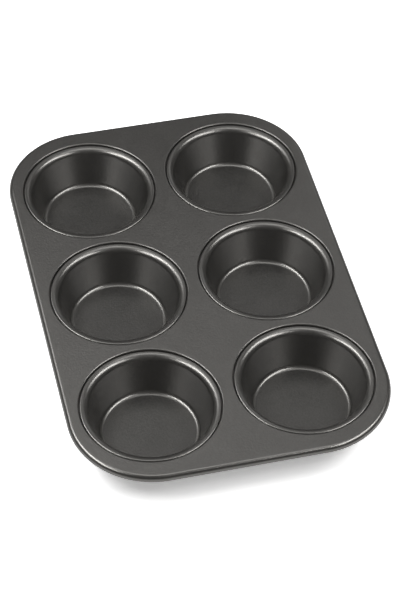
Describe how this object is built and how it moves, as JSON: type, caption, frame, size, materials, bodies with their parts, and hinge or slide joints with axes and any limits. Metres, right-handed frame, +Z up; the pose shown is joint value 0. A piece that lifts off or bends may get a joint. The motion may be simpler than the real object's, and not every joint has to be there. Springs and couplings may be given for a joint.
{
  "type": "muffin pan",
  "caption": "Rectangular muffin pan in dark coated steel: a flat deck with wide rounded corners and a rolled rim, with round tapered cups seamed into it.",
  "frame": {"origin": "under the middle of the deck, on the plane that the undersides of the cups stand on", "axes": "+X across the pan to its right, +Y along the pan from the front row to the back row, +Z up"},
  "size_m": [0.181, 0.27, 0.024],
  "materials": {
    "nonstick_coating": "satin dark grey non-stick coating on sheet steel",
    "wire_steel": "drawn bare steel wire"
  },
  "bodies": {
    "root": {"deck_plate": "nonstick_coating", "rim_wire": "wire_steel", "cup_front_left": "nonstick_coating", "cup_front_right": "nonstick_coating", "cup_middle_left": "nonstick_coating", "cup_middle_right": "nonstick_coating", "cup_back_left": "nonstick_coating", "cup_back_right": "nonstick_coating"}
  },
  "joints": []
}
